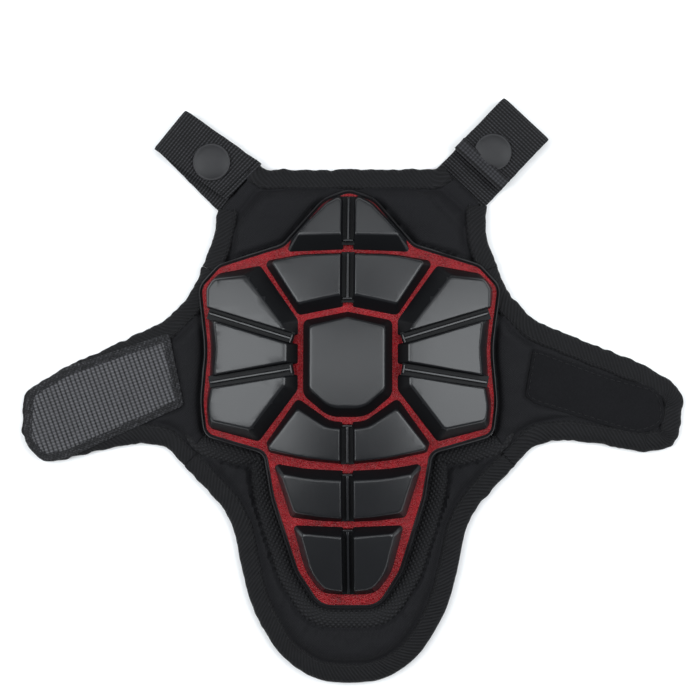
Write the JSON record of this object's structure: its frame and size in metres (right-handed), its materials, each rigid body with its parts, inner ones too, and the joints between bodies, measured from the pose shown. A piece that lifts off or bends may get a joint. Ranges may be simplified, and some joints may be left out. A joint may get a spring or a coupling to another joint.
{
  "type": "back protector",
  "caption": "Soft strap-on back pad with two side wings, shoulder loops closed by snaps, and a domed segmented hard shell on its outer side.",
  "frame": {"origin": "on the flat inner face worn against the back, under the middle of the centre plate", "axes": "+Z out of the back through the armour, +Y towards the neck, +X to the right wing as seen from the armoured side"},
  "size_m": [0.3297, 0.2941, 0.036],
  "materials": {
    "pad_fabric": "matt black knit fabric",
    "binding_tape": "matt black woven binding with a fine twill",
    "lining_mesh": "matt black mesh lining",
    "foam": "dark grey closed foam",
    "red_shell": "satin red moulded base with a fine grain",
    "black_shell": "satin-gloss black moulded plates",
    "rim": "matt black rim",
    "webbing": "black ribbed webbing",
    "snap": "matt black snap",
    "hook": "black hook tape with ribs",
    "loop": "black brushed loop fabric",
    "trim_mesh": "black knitted mesh trim"
  },
  "bodies": {
    "pad": {"armour_base": "red_shell", "armour_rim": "rim", "centre_plate": "black_shell", "crown_plate": "black_shell", "impact_foam": "foam", "left_side_plate": "black_shell", "left_strap_anchor": "webbing", "lower_plate": "black_shell", "mesh_trim": "trim_mesh", "neck_binding": "binding_tape", "neck_cover": "pad_fabric", "pad_core": "foam", "pad_cover": "pad_fabric", "pad_lining": "lining_mesh", "right_side_plate": "black_shell", "right_strap_anchor": "webbing", "tail_binding": "binding_tape", "tail_plate": "black_shell", "upper_plate": "black_shell", "waist_plate": "black_shell"},
    "left_wing": {"hook_tape": "hook", "left_wing_binding": "binding_tape", "left_wing_core": "foam", "left_wing_cover": "pad_fabric", "left_wing_lining": "lining_mesh"},
    "right_wing": {"loop_patch": "loop", "right_wing_binding": "binding_tape", "right_wing_core": "foam", "right_wing_cover": "pad_fabric", "right_wing_lining": "lining_mesh"},
    "left_strap": {"left_snap_post": "snap", "left_snap_stud": "snap", "left_strap_webbing": "webbing"},
    "right_strap": {"right_snap_post": "snap", "right_snap_stud": "snap", "right_strap_webbing": "webbing"},
    "left_flap": {"left_flap_webbing": "webbing", "left_snap_cap": "snap", "left_snap_socket": "snap"},
    "right_flap": {"right_flap_webbing": "webbing", "right_snap_cap": "snap", "right_snap_socket": "snap"}
  },
  "joints": [
    {"name": "left_wing_fold", "type": "hinge", "parent": "pad", "child": "left_wing", "pos_m": [-0.084, 0, 0], "axis": [0, -1, 0], "range_deg": [0, 95]},
    {"name": "right_wing_fold", "type": "hinge", "parent": "pad", "child": "right_wing", "pos_m": [0.084, 0, 0], "axis": [0, 1, 0], "range_deg": [0, 95]},
    {"name": "left_strap_fold", "type": "hinge", "parent": "pad", "child": "left_strap", "pos_m": [-0.05623, 0.08939, 0.001], "axis": [-0.6293, -0.7771, 0], "range_deg": [0, 90]},
    {"name": "right_strap_fold", "type": "hinge", "parent": "pad", "child": "right_strap", "pos_m": [0.0577, 0.08962, 0.001], "axis": [-0.7314, 0.682, 0], "range_deg": [0, 90]},
    {"name": "left_flap_open", "type": "hinge", "parent": "left_strap", "child": "left_flap", "pos_m": [-0.08942, 0.11626, 0.001], "axis": [-0.6293, -0.7771, 0], "range_deg": [0, 150]},
    {"name": "right_flap_open", "type": "hinge", "parent": "right_strap", "child": "right_flap", "pos_m": [0.08785, 0.12194, 0.001], "axis": [-0.7314, 0.682, 0], "range_deg": [0, 150]}
  ]
}
